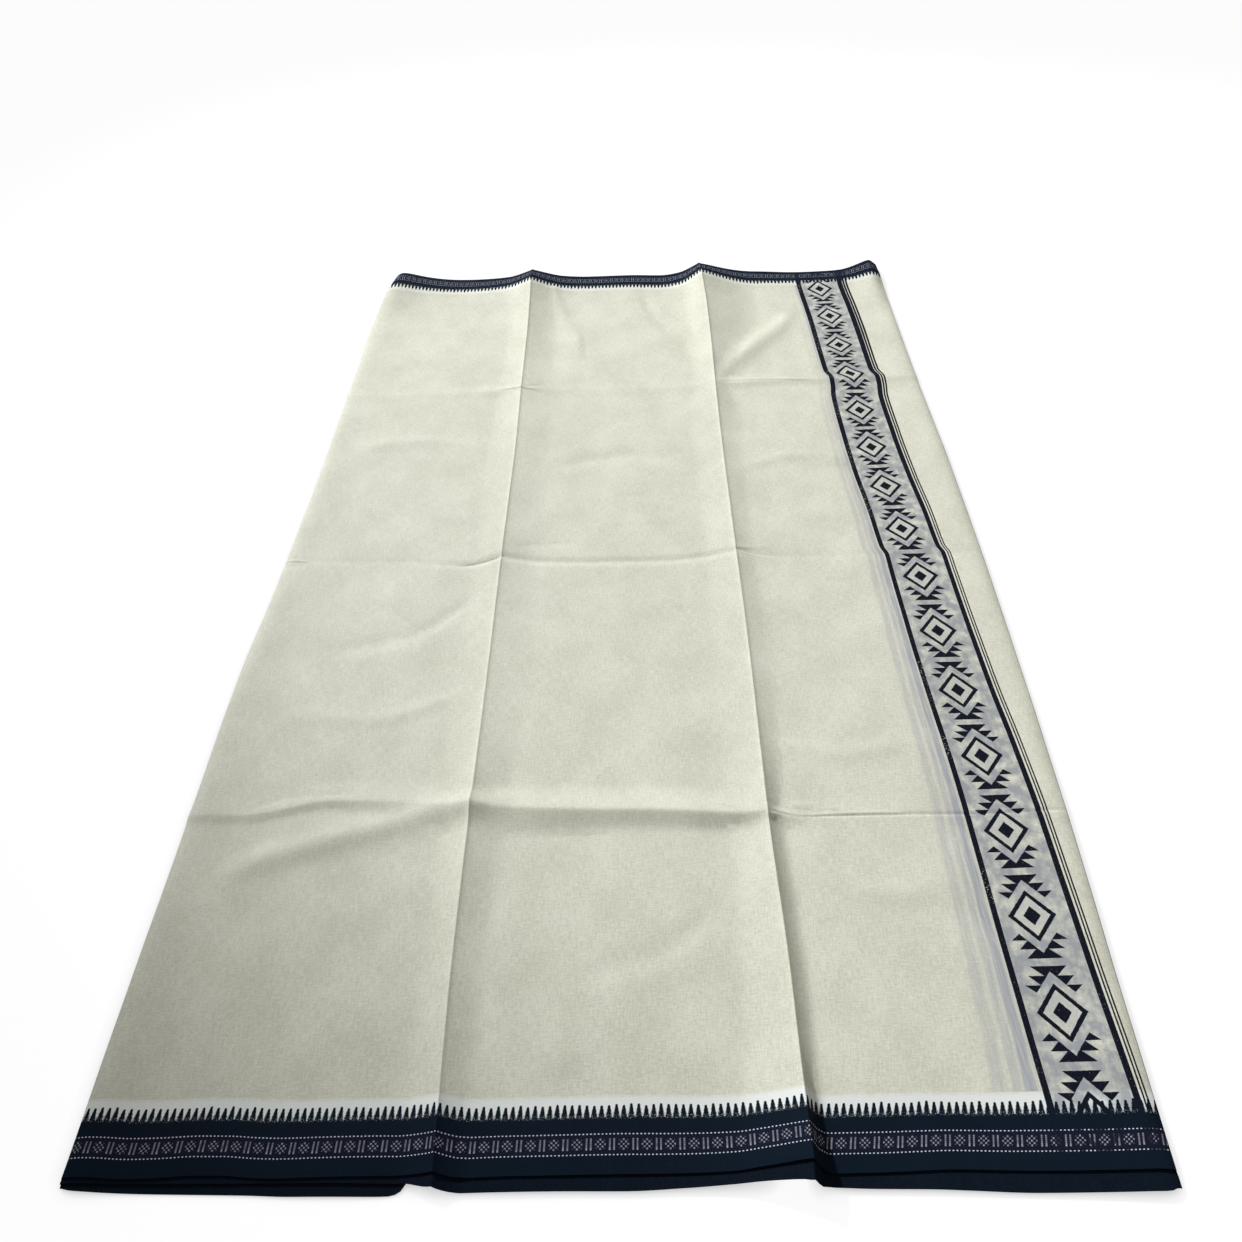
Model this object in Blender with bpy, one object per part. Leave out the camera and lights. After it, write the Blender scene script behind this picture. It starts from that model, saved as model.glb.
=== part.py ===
"""A cotton dhoti, folded lengthwise into a long flat bundle and laid out on its back.

The top layer is a thin wall that rolls over both folded edges down to the floor. Woven borders run along
its two selvedges. The two hidden layers under it are one rounded solid, layered at its edges. Two creases
run the length of the bundle and three run across it, left by the square packet that it was sold in.

Metres. +X runs across the bundle, +Y from the near selvedge to the far one, +Z up. The origin is the
middle of the underside.
"""

import bmesh
import bpy
import numpy as np

# Driving sizes
LOOM_WIDTH = 1.270  # from selvedge to selvedge
BORDER_WIDTH = 0.0516  # a border, its temple spikes and the white stripe past them
WALL = 0.0014  # the top layer
HIDDEN_LAYER = 0.00105  # each of the two layers beneath it
SEAM = 0.0003  # clearance between two pieces
REST_TOP = 2 * HIDDEN_LAYER + SEAM + WALL  # the top face where the bundle lies flat
FOLD_RADIUS = REST_TOP / 2  # the rolled edges, seen from the selvedge
CREST_RADIUS = 0.002  # the rounding of a crease along its crest
DEEPEST_STEP = 0.013  # how far the lowest layer shows past the top layer's near selvedge
NEAR_EDGE_Y = -(LOOM_WIDTH - DEEPEST_STEP) / 2  # the top layer's near selvedge

# The folded edges: distance along the bundle from its near selvedge, and both edges' places across it
FOLDED_EDGES = (
    # along, left, right
    (0.00, -0.3450, 0.3420),
    (0.13, -0.3470, 0.3445),
    (0.28, -0.3485, 0.3480),
    (0.45, -0.3500, 0.3500),
    (0.60, -0.3450, 0.3500),
    (0.76, -0.3430, 0.3480),
    (0.95, -0.3432, 0.3425),
    (1.10, -0.3435, 0.3398),
    (1.18, -0.3405, 0.3385),
    (1.22, -0.3370, 0.3376),
    (1.27, -0.3260, 0.3355),
)

# The two creases along the bundle
LEFT_CREASE = (
    # along, across, height, left_reach, right_reach
    (0.00, -0.1100, 0.0066, 0.013, 0.014),
    (0.14, -0.1160, 0.0052, 0.014, 0.016),
    (0.29, -0.1190, 0.0064, 0.015, 0.018),
    (0.45, -0.1215, 0.0042, 0.018, 0.022),
    (0.62, -0.1245, 0.0048, 0.017, 0.020),
    (0.81, -0.1270, 0.0042, 0.018, 0.022),
    (0.96, -0.1310, 0.0056, 0.016, 0.022),
    (1.12, -0.1345, 0.0070, 0.014, 0.024),
    (1.27, -0.1390, 0.0070, 0.014, 0.030),
)
RIGHT_CREASE = (
    # along, across, height, left_reach, right_reach
    (0.00, 0.1230, 0.0084, 0.025, 0.007),
    (0.14, 0.1210, 0.0078, 0.024, 0.009),
    (0.28, 0.1160, 0.0084, 0.022, 0.010),
    (0.45, 0.1140, 0.0048, 0.022, 0.018),
    (0.62, 0.1095, 0.0056, 0.020, 0.018),
    (0.84, 0.1040, 0.0046, 0.020, 0.020),
    (0.96, 0.1020, 0.0068, 0.018, 0.014),
    (1.12, 0.1000, 0.0080, 0.016, 0.018),
    (1.27, 0.0920, 0.0080, 0.014, 0.024),
)

# The three creases across the bundle, from the near one to the far one
NEAR_CROSS_CREASE = (
    # across, along, height
    (-0.350, 0.293, 0.0020),
    (-0.230, 0.306, 0.0034),
    (-0.120, 0.295, 0.0064),
    (0.000, 0.290, 0.0066),
    (0.116, 0.283, 0.0050),
    (0.230, 0.281, 0.0024),
    (0.350, 0.281, 0.0018),
)
MIDDLE_CROSS_CREASE = (
    # across, along, height
    (-0.350, 0.627, 0.0006),
    (-0.230, 0.626, 0.0008),
    (-0.120, 0.624, 0.0012),
    (0.000, 0.617, 0.0012),
    (0.110, 0.625, 0.0012),
    (0.230, 0.617, 0.0008),
    (0.350, 0.615, 0.0006),
)
FAR_CROSS_CREASE = (
    # across, along, height
    (-0.350, 0.955, 0.0008),
    (-0.230, 0.956, 0.0010),
    (-0.134, 0.958, 0.0026),
    (0.000, 0.952, 0.0014),
    (0.102, 0.958, 0.0030),
    (0.230, 0.962, 0.0026),
    (0.350, 0.960, 0.0018),
)
CROSS_CREASES = (NEAR_CROSS_CREASE, MIDDLE_CROSS_CREASE, FAR_CROSS_CREASE)
CROSS_NEAR_REACH = 0.016
CROSS_FAR_REACH = 0.013

# Where the whole stack springs clear of the floor, at a crease's end or at a corner
LIFTS = (
    # across, along, height, left_reach, right_reach, along_reach
    (0.123, 0.00, 0.0100, 0.025, 0.007, 0.045),
    (-0.139, 1.27, 0.0105, 0.014, 0.030, 0.070),
    (0.092, 1.27, 0.0115, 0.014, 0.024, 0.070),
    (-0.337, 1.27, 0.0130, 0.030, 0.030, 0.055),
    (0.337, 1.27, 0.0120, 0.024, 0.024, 0.060),
)
FLAT_BELOW = 0.0004  # a lift smaller than this leaves the cloth on the floor

# How far the hidden layers' near selvedges stand out past the top layer's, as signed distances along
SECOND_LAYER_STEP = (
    # across, along
    (-0.35, -0.0045),
    (-0.24, -0.0040),
    (-0.11, -0.0060),
    (0.00, -0.0090),
    (0.13, -0.0080),
    (0.25, -0.0105),
    (0.35, -0.0125),
)
THIRD_LAYER_STEP = (
    # across, along
    (-0.350, -0.0075),
    (-0.330, -0.0095),
    (-0.265, -0.0105),
    (-0.200, -DEEPEST_STEP),
    (-0.152, -0.0128),
    (-0.132, -0.0080),
    (-0.110, -0.0030),
    (0.350, -0.0060),
)

# The mesh lines that the surfaces are built on
CREASE_OFFSETS = (-0.028, -0.010, -0.0035, 0.0, 0.0035, 0.010, 0.028)
CROSS_OFFSETS = (-0.017, -0.005, 0.0, 0.005, 0.017)
EDGE_OFFSETS = (0.0, 0.010, 0.034)
MIDDLE_LINES = 3  # between two neighbouring groups
BORDER_LINES = (0.0, 0.0125, 0.0255, 0.0385, BORDER_WIDTH)
FOLD_ANGLES = np.radians((-90.0, -45.0, 0.0, 45.0, 90.0))
EDGE_ROUNDING = 0.0003  # the rounding of a hidden layer's selvedge
EDGE_START = 0.35  # where a hidden layer's selvedge stands upright, as shares of its thickness
EDGE_END = 0.65
GROOVE_DEPTH = 0.0006  # the groove between the two hidden layers
END_POINTS = 5  # up one selvedge of the hidden layers
NEAR_LIP_SHARE = 0.6  # how much of the top layer's rise the hidden layers' near lip follows
SHARP_ANGLE = np.radians(50.0)

# Finishes
GROUND_COLOUR = (0.67, 0.65, 0.55)
GROUND_ROUGHNESS = 0.9
BORDER_COLOUR = (0.010, 0.013, 0.020)
BORDER_ROUGHNESS = 0.8
HIDDEN_COLOUR = (0.008, 0.010, 0.015)


def through(rows, at, column=1):
    """The value of a table's column at a place, on a smooth curve through its rows that never overshoots."""
    table = np.array(rows)
    place, value = table[:, 0], table[:, column]
    steps = np.diff(place)
    secants = np.diff(value) / steps
    same_way = secants[:-1] * secants[1:] > 0
    sums = np.where(same_way, secants[:-1] + secants[1:], 1.0)
    slopes = np.where(same_way, 2 * secants[:-1] * secants[1:] / sums, 0.0)
    slopes = np.concatenate([secants[:1], slopes, secants[-1:]])
    at = np.clip(at, place[0], place[-1])
    row = np.clip(np.searchsorted(place, at) - 1, 0, len(steps) - 1)
    t = (at - place[row]) / steps[row]
    start = (1 + 2 * t) * (1 - t) ** 2 * value[row] + t * (1 - t) ** 2 * slopes[row] * steps[row]
    end = t**2 * (3 - 2 * t) * value[row + 1] - t**2 * (1 - t) * slopes[row + 1] * steps[row]
    return start + end


def crest(distance, before, after):
    """A fold's profile, 1 at its crest, falling off over its reach on each side."""
    reach = np.where(distance < 0, before, after)
    rounded = np.sqrt(distance**2 + CREST_RADIUS**2) - CREST_RADIUS
    return np.exp(-rounded / reach)


def crease_height(x, along):
    """How far the creases raise the top face above the flat cloth."""
    total = 0.0
    for crease in (LEFT_CREASE, RIGHT_CREASE):
        offset = x - through(crease, along)
        height, before, after = (through(crease, along, column) for column in (2, 3, 4))
        total = total + (height * crest(offset, before, after)) ** 2
    for crease in CROSS_CREASES:
        offset = along - through(crease, x)
        total = total + (through(crease, x, 2) * crest(offset, CROSS_NEAR_REACH, CROSS_FAR_REACH)) ** 2
    return np.sqrt(total)


def lift_height(x, along):
    """How far the whole stack stands clear of the floor."""
    total = 0.0
    for across, place, height, left, right, reach in LIFTS:
        total = total + height * crest(x - across, left, right) * crest(along - place, reach, reach)
    return np.maximum(total - FLAT_BELOW, 0.0)


def lines_between(start, end, count):
    """Evenly spaced places between two others, without them."""
    return np.linspace(start, end, count + 2)[1:-1]


def columns(along):
    """The places across the bundle of its lengthwise mesh lines, between the two rolled edges."""
    left = through(FOLDED_EDGES, along, 1) + FOLD_RADIUS
    right = through(FOLDED_EDGES, along, 2) - FOLD_RADIUS
    places = [left + np.array(EDGE_OFFSETS)]
    for group in (
        through(LEFT_CREASE, along) + np.array(CREASE_OFFSETS),
        through(RIGHT_CREASE, along) + np.array(CREASE_OFFSETS),
        right - np.array(EDGE_OFFSETS)[::-1],
    ):
        places += [lines_between(places[-1][-1], group[0], MIDDLE_LINES), group]
    return np.concatenate(places)


def ground_lines(x):
    """The distances along the bundle of its crosswise mesh lines between the borders, at one place across."""
    places = [np.array([BORDER_WIDTH])]
    for crease in CROSS_CREASES:
        group = through(crease, x) + np.array(CROSS_OFFSETS)
        places += [lines_between(places[-1][-1], group[0], MIDDLE_LINES), group]
    end = LOOM_WIDTH - BORDER_WIDTH
    places += [lines_between(places[-1][-1], end, MIDDLE_LINES), np.array([end])]
    return np.concatenate(places)


def near_border_lines(x):
    """The same between the near selvedge and the near seam."""
    return np.array(BORDER_LINES)


def far_border_lines(x):
    """The same between the far seam and the far selvedge."""
    return LOOM_WIDTH - np.array(BORDER_LINES)[::-1]


def hidden_lines(x):
    """The same for the hidden layers, which have no seams and stop short of both selvedges."""
    pieces = (near_border_lines(x), ground_lines(x)[1:], far_border_lines(x)[1:-2])
    return np.concatenate(pieces)


def net_of(lines_at, start_gap=0.0, end_gap=0.0):
    """Places (across, along) where the mesh lines meet: rows follow the creases across the bundle, and
    columns those along it. The gaps hold its first and last rows back from a seam."""
    net = []
    for row, along in enumerate(lines_at(0.0)):
        across = columns(along)
        net.append([(x, lines_at(x)[row]) for x in across])
    net = np.array(net)
    net[0, :, 1] += start_gap
    net[-1, :, 1] -= end_gap
    return net


def place_of(x, along, z):
    """A point of the part from its place across the bundle, along it and above the floor."""
    return (x, NEAR_EDGE_Y + along, z)


def new_piece(name, points, faces, material):
    """One closed object from its points and faces, smooth but for its sharp edges."""
    mesh = bpy.data.meshes.new(name)
    mesh.from_pydata([place_of(*point) for point in points], [], faces)
    shell = bmesh.new()
    shell.from_mesh(mesh)
    bmesh.ops.recalc_face_normals(shell, faces=shell.faces)
    shell.to_mesh(mesh)
    shell.free()
    mesh.materials.append(material)
    mesh.shade_smooth()
    mesh.set_sharp_from_angle(angle=SHARP_ANGLE)
    piece = bpy.data.objects.new(name, mesh)
    bpy.context.scene.collection.objects.link(piece)
    return piece


def lofted(sections, end_faces):
    """The points and faces of a solid through closed sections of equal size, with faces for its two ends."""
    size = len(sections[0])
    faces = []
    for ring in range(len(sections) - 1):
        for spot in range(size):
            after = (spot + 1) % size
            low, high = ring * size, (ring + 1) * size
            faces.append((low + spot, high + spot, high + after, low + after))
    last = (len(sections) - 1) * size
    faces += end_faces
    faces += [tuple(last + spot for spot in face) for face in end_faces]
    points = [point for section in sections for point in section]
    return points, faces


def wall_section(across, along):
    """One section of the top layer, as (x, along, z): its outer points from the left foot over to the right
    one, then its inner points back again."""
    foot = lift_height(across, along)
    top = REST_TOP + crease_height(across, along) + foot
    outer, inner = [], []
    for chain, inset in ((outer, 0.0), (inner, WALL)):
        for side, spot in ((-1, 0), (1, -1)):
            middle = (top[spot] + foot[spot]) / 2
            half = (top[spot] - foot[spot]) / 2 - inset
            turn = FOLD_ANGLES if side < 0 else FOLD_ANGLES[::-1]
            if side > 0:
                chain += list(zip(across[1:-1], along[1:-1], top[1:-1] - inset))
            for angle in turn:
                x = across[spot] + side * (FOLD_RADIUS - inset) * np.cos(angle)
                chain.append((x, along[spot], middle + half * np.sin(angle)))
    return outer + inner[::-1]


def build_wall(name, net, material):
    """A stretch of the top layer between two seams or selvedges."""
    sections = [wall_section(row[:, 0], row[:, 1]) for row in net]
    size = len(sections[0])
    ends = [(spot, spot + 1, size - 2 - spot, size - 1 - spot) for spot in range(size // 2 - 1)]
    return new_piece(name, *lofted(sections, ends), material)


def layered_end(x, third, second, inward, low, high):
    """The five points up one selvedge of the hidden layers: the lower layer's edge, the groove between them
    and the upper layer's edge. low and high are how far each layer is raised there."""
    deeper = max(third, second) if inward > 0 else min(third, second)
    groove = HIDDEN_LAYER + (low + high) / 2
    return [
        (x, third, low + EDGE_START * HIDDEN_LAYER),
        (x, third, low + EDGE_END * HIDDEN_LAYER),
        (x, deeper + inward * GROOVE_DEPTH, groove),
        (x, second, high + (1 + EDGE_START) * HIDDEN_LAYER),
        (x, second, high + (1 + EDGE_END) * HIDDEN_LAYER),
    ]


def hidden_section(across, along, far_across):
    """One lengthwise section of the hidden layers, as a closed loop of (x, along, z): along the underside,
    up the far selvedge, at far_across, back along the top and down the near selvedge."""
    x = np.concatenate([across[:1], across, [far_across]])
    third = through(THIRD_LAYER_STEP, x)
    second = through(SECOND_LAYER_STEP, x)
    lower, upper = (
        np.concatenate([step[:1] + EDGE_ROUNDING, along, step[-1:] + LOOM_WIDTH - EDGE_ROUNDING])
        for step in (third, second)
    )
    low = lift_height(x, lower)
    raised = crease_height(x, upper) + lift_height(x, upper)
    raised[0] *= NEAR_LIP_SHARE
    high = raised + 2 * HIDDEN_LAYER
    high[-1] -= EDGE_ROUNDING
    bottom = list(zip(x, lower, low))
    top = list(zip(x, upper, high))
    near = layered_end(x[0], third[0], second[0], 1, low[0], raised[0])
    far = layered_end(
        x[-1], LOOM_WIDTH + third[-1], LOOM_WIDTH + second[-1], -1, low[-1], raised[-1] - EDGE_ROUNDING
    )
    return bottom + far + top[::-1] + near[::-1]


def hidden_side_faces(count):
    """The faces of the hidden layers' left or right side, for sections with count points underneath."""
    last = 2 * count + END_POINTS - 1
    faces = [(spot, spot + 1, last - spot - 1, last - spot) for spot in range(count - 1)]
    far = count
    near = last + 1
    fans = (
        (far + 2, (far + 3, far + 4, far + 5, far - 1, far, far + 1)),
        (near + 2, (near + 3, near + 4, 0, last, near, near + 1)),
    )
    for middle, rim in fans:
        faces += [(middle, rim[i], rim[i + 1]) for i in range(len(rim) - 1)]
    return faces


def build_hidden_layers(name, net, material):
    """The two hidden layers as one solid, with a groove between them at both selvedges."""
    clearance = np.zeros(net.shape[1])
    clearance[0] = SEAM
    clearance[-1] = -SEAM
    far_across = columns(LOOM_WIDTH + SECOND_LAYER_STEP[0][1]) + clearance
    sections = []
    for column, far_place in enumerate(far_across):
        across = net[:, column, 0] + clearance[column]
        sections.append(hidden_section(across, net[:, column, 1], far_place))
    return new_piece(name, *lofted(sections, hidden_side_faces(net.shape[0] + 2)), material)


def make_material(name, colour, roughness):
    """A plain cloth finish."""
    material = bpy.data.materials.new(name)
    material.use_nodes = True
    shader = material.node_tree.nodes["Principled BSDF"]
    shader.inputs["Base Color"].default_value = (*colour, 1.0)
    shader.inputs["Roughness"].default_value = roughness
    shader.inputs["Metallic"].default_value = 0.0
    return material


def clear_scene():
    """Removes the objects that the scene starts with."""
    for item in list(bpy.data.objects):
        bpy.data.objects.remove(item, do_unlink=True)


def build():
    """Makes the bundle's four pieces."""
    clear_scene()
    ground = make_material("ground_cotton", GROUND_COLOUR, GROUND_ROUGHNESS)
    border = make_material("border_cotton", BORDER_COLOUR, BORDER_ROUGHNESS)
    hidden = make_material("hidden_cotton", HIDDEN_COLOUR, BORDER_ROUGHNESS)
    half = SEAM / 2
    build_wall("near_border", net_of(near_border_lines, end_gap=half), border)
    build_wall("ground_panel", net_of(ground_lines, half, half), ground)
    build_wall("far_border", net_of(far_border_lines, start_gap=half), border)
    build_hidden_layers("hidden_layers", net_of(hidden_lines), hidden)


build()
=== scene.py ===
"""The looks of a folded cotton dhoti, laid out as a Blender add-on and run as a script.

The cloth is built from the same creases, folded edges and raised corners as its solids. Metres throughout:
+X runs across the bundle, +Y from the near selvedge to the far one, +Z up.
"""

import functools
import math

import bpy
import numpy as np
from bpy.props import FloatProperty, FloatVectorProperty, PointerProperty
from mathutils import Matrix, Vector


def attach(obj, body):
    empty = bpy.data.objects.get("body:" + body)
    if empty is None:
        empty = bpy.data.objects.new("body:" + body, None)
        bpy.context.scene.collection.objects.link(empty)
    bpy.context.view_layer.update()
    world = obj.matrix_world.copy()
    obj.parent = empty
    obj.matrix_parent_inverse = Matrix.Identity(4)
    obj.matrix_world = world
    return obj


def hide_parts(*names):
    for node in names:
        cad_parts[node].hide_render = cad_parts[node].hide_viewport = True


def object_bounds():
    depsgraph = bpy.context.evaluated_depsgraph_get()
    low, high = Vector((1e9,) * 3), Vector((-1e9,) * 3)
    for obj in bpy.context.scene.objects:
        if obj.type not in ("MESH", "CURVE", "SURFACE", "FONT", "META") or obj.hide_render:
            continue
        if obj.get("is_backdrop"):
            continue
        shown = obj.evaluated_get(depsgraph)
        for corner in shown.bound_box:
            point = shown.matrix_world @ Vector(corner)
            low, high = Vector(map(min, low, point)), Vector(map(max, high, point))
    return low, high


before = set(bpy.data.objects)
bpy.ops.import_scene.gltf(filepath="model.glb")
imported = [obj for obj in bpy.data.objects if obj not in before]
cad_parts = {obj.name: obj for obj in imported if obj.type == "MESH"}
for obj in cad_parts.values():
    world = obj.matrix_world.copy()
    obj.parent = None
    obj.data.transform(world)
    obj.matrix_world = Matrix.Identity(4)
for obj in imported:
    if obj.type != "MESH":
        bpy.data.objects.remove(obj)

bl_info = {
    "name": "Folded dhoti",
    "version": (1, 0, 0),
    "blender": (4, 5, 0),
    "location": "3D View > Sidebar > Dhoti",
    "description": "Builds a folded cotton dhoti with woven borders and a printed band",
    "category": "Object",
}

# Driving sizes, as in the solids
LOOM_WIDTH = 1.27
BORDER_WIDTH = 0.0516
REST_TOP = 0.0038  # the top face where the bundle lies flat
FOLD_RADIUS = 0.0019
NEAR_EDGE_Y = -0.6285  # the top layer's near selvedge
FLAT_BELOW = 0.0004  # a lift smaller than this leaves the cloth on the floor

# A crease's profile: its crest's rounding, how far its faces run in reaches, and how they curve
CREST_RADIUS = 0.001
CROSS_CREST_RADIUS = 0.0028
FACE_REACHES = 1.5
FACE_POWER = 1.35

# The knife edge that pressing leaves along a lengthwise crease
KNIFE_HEIGHT = 0.001
KNIFE_REACH = 0.0012
KNIFE_RADIUS = 0.0003

# The swelling just inside each folded edge
ROLL_HEIGHT = 0.0022
ROLL_REACH = 0.011

# The folded edges: distance along the bundle from its near selvedge, and both edges' places across it
FOLDED_EDGES = (
    # along, left, right
    (0.0, -0.345, 0.342),
    (0.13, -0.347, 0.3445),
    (0.28, -0.3485, 0.348),
    (0.45, -0.35, 0.35),
    (0.6, -0.345, 0.35),
    (0.76, -0.343, 0.348),
    (0.95, -0.3432, 0.3425),
    (1.1, -0.3435, 0.3398),
    (1.16, -0.342, 0.339),
    (1.21, -0.3385, 0.3378),
    (1.24, -0.3315, 0.337),
    (1.27, -0.326, 0.3355),
)

# The two creases along the bundle
LEFT_CREASE = (
    # along, across, height, left_reach, right_reach
    (0.0, -0.11, 0.0068, 0.016, 0.011),
    (0.14, -0.116, 0.0054, 0.014, 0.015),
    (0.29, -0.119, 0.0066, 0.015, 0.018),
    (0.45, -0.1215, 0.0042, 0.02, 0.026),
    (0.62, -0.1245, 0.0048, 0.018, 0.024),
    (0.81, -0.127, 0.0042, 0.02, 0.026),
    (0.96, -0.131, 0.0054, 0.018, 0.024),
    (1.12, -0.1345, 0.0066, 0.016, 0.024),
    (1.27, -0.139, 0.0042, 0.02, 0.026),
)
RIGHT_CREASE = (
    # along, across, height, left_reach, right_reach
    (0.0, 0.123, 0.0088, 0.03, 0.0045),
    (0.05, 0.1222, 0.0084, 0.026, 0.0065),
    (0.14, 0.121, 0.0074, 0.022, 0.008),
    (0.28, 0.116, 0.0072, 0.019, 0.008),
    (0.38, 0.1148, 0.0046, 0.02, 0.011),
    (0.5, 0.1128, 0.0036, 0.022, 0.014),
    (0.62, 0.1095, 0.005, 0.02, 0.012),
    (0.84, 0.104, 0.004, 0.022, 0.016),
    (0.96, 0.102, 0.0064, 0.018, 0.014),
    (1.05, 0.101, 0.0082, 0.016, 0.024),
    (1.15, 0.0985, 0.0104, 0.016, 0.046),
    (1.27, 0.092, 0.0052, 0.016, 0.045),
)

# The creases across the bundle, from the near one to the far one. The middle one is a shallow valley
NEAR_CROSS_CREASE = (
    # across, along, height, near_reach, far_reach
    (-0.35, 0.2925, 0.0016, 0.005, 0.012),
    (-0.302, 0.293, 0.0022, 0.005, 0.012),
    (-0.231, 0.306, 0.003, 0.005, 0.014),
    (-0.182, 0.304, 0.0031, 0.008, 0.014),
    (-0.15, 0.299, 0.0038, 0.012, 0.016),
    (-0.12, 0.295, 0.0062, 0.015, 0.016),
    (-0.09, 0.293, 0.007, 0.015, 0.018),
    (-0.05, 0.2905, 0.0068, 0.012, 0.018),
    (0.0, 0.2895, 0.0066, 0.01, 0.018),
    (0.106, 0.2835, 0.0064, 0.008, 0.018),
    (0.126, 0.2835, 0.003, 0.006, 0.01),
    (0.15, 0.2828, 0.0004, 0.006, 0.01),
    (0.35, 0.282, 0.0002, 0.006, 0.01),
)
MIDDLE_CROSS_CREASE = (
    # across, along, height, near_reach, far_reach
    (-0.35, 0.627, -0.0003, 0.004, 0.004),
    (-0.23, 0.626, -0.0004, 0.004, 0.004),
    (-0.16, 0.617, -0.001, 0.004, 0.004),
    (-0.123, 0.624, -0.0014, 0.0045, 0.004),
    (-0.03, 0.6165, -0.0014, 0.0045, 0.004),
    (0.042, 0.6175, -0.0012, 0.0045, 0.004),
    (0.107, 0.625, -0.0013, 0.0045, 0.004),
    (0.142, 0.62, -0.0006, 0.004, 0.004),
    (0.23, 0.617, -0.0003, 0.004, 0.004),
    (0.35, 0.615, -0.0003, 0.004, 0.004),
)
FAR_CROSS_CREASE = (
    # across, along, height, near_reach, far_reach
    (-0.35, 0.955, 0.0004, 0.01, 0.01),
    (-0.23, 0.956, 0.0005, 0.01, 0.01),
    (-0.134, 0.958, 0.0019, 0.009, 0.01),
    (-0.08, 0.956, 0.0006, 0.01, 0.01),
    (0.06, 0.954, 0.0005, 0.01, 0.01),
    (0.102, 0.958, 0.0022, 0.008, 0.012),
    (0.23, 0.962, 0.0015, 0.006, 0.014),
    (0.35, 0.96, 0.0012, 0.006, 0.014),
)
CROSS_CREASES = (NEAR_CROSS_CREASE, MIDDLE_CROSS_CREASE, FAR_CROSS_CREASE)
CROSS_RIDGES = (NEAR_CROSS_CREASE, FAR_CROSS_CREASE)

# Where the whole stack springs clear of the floor, at a crease's end, at a corner or in a soft swelling
LIFTS = (
    # across, along, height, left_reach, right_reach, near_reach, far_reach
    (0.123, 0.0, 0.009, 0.048, 0.0065, 0.045, 0.045),
    (-0.138, 1.235, 0.011, 0.031, 0.034, 0.1, 0.08),
    (0.092, 1.235, 0.0115, 0.024, 0.035, 0.1, 0.08),
    (-0.322, 1.262, 0.014, 0.05, 0.047, 0.08, 0.05),
    (0.325, 1.266, 0.0092, 0.024, 0.01, 0.07, 0.05),
    (-0.22, 1.195, 0.0026, 0.1, 0.07, 0.1, 0.055),
)
SWELL_POWER = 1.5

# Small folds pressed into the cloth, each a soft ridge, or a trough where its height is negative
SMALL_FOLDS = (
    # height, width, places (across, along) that it runs through
    (0.0037, 0.021, ((-0.085, 0.301), (-0.15, 0.29), (-0.19, 0.2785), (-0.23, 0.264), (-0.31, 0.236))),
    (-0.0008, 0.003, ((0.122, 0.285), (0.16, 0.284), (0.23, 0.2838), (0.349, 0.2835))),
    (0.0034, 0.023, ((0.104, 0.972), (0.15, 1.045), (0.215, 1.135))),
    (-0.0007, 0.0045, ((-0.3, 0.3), (-0.262, 0.3115), (-0.215, 0.313))),
    (0.0011, 0.0026, ((0.112, 0.2985), (0.128, 0.297), (0.152, 0.2935), (0.182, 0.2885))),
    (0.001, 0.0024, ((0.112, 0.2905), (0.141, 0.2845), (0.18, 0.2855), (0.228, 0.2845))),
    (0.0009, 0.0024, ((0.11, 0.2775), (0.129, 0.2845))),
    (-0.0008, 0.0026, ((0.112, 0.294), (0.142, 0.289))),
    (0.0009, 0.003, ((0.07, 0.2975), (0.088, 0.293), (0.1, 0.287))),
    (-0.0009, 0.0024, ((-0.13, 0.643), (-0.088, 0.6465), (-0.04, 0.6485))),
    (-0.0009, 0.003, ((-0.17, 0.615), (-0.145, 0.6195), (-0.118, 0.626))),
    (0.0009, 0.0028, ((0.104, 0.625), (0.126, 0.6205), (0.15, 0.611))),
    (0.0008, 0.0028, ((0.104, 0.629), (0.128, 0.633), (0.15, 0.635))),
    (-0.0006, 0.003, ((0.16, 0.588), (0.178, 0.58), (0.23, 0.5775))),
    (0.001, 0.003, ((-0.35, 0.629), (-0.315, 0.625))),
    (-0.0008, 0.003, ((-0.35, 0.619), (-0.318, 0.6165))),
    (0.0012, 0.003, ((-0.165, 0.964), (-0.134, 0.9575), (-0.105, 0.953))),
    (-0.0008, 0.003, ((-0.13, 0.96), (-0.1, 0.968))),
    (0.0016, 0.014, ((-0.11, 1.23), (-0.09, 1.15), (-0.06, 1.06))),
    (-0.0014, 0.016, ((0.01, 1.2), (0.04, 1.12), (0.08, 1.04))),
    (0.0009, 0.003, ((0.104, 0.962), (0.13, 0.966), (0.217, 0.961))),
    (0.0014, 0.015, ((-0.1, 0.15), (-0.06, 0.09), (-0.02, 0.065))),
    (-0.0012, 0.018, ((0.08, 0.2), (0.03, 0.16), (-0.03, 0.14))),
    (0.0012, 0.014, ((0.14, 0.24), (0.19, 0.21), (0.24, 0.205))),
    (-0.0012, 0.016, ((-0.14, 0.57), (-0.2, 0.51), (-0.28, 0.49))),
    (0.0012, 0.016, ((-0.14, 0.43), (-0.22, 0.4), (-0.3, 0.41))),
    (0.0012, 0.015, ((0.12, 0.37), (0.18, 0.35), (0.24, 0.36))),
    (-0.0012, 0.018, ((-0.09, 0.79), (0.0, 0.81), (0.07, 0.79))),
    (0.0012, 0.016, ((0.12, 0.78), (0.19, 0.8), (0.25, 0.785))),
    (0.0012, 0.018, ((-0.16, 0.83), (-0.23, 0.85), (-0.31, 0.84))),
)
FOLD_TAPER = 0.014  # over which a small fold fades out at its ends

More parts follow.
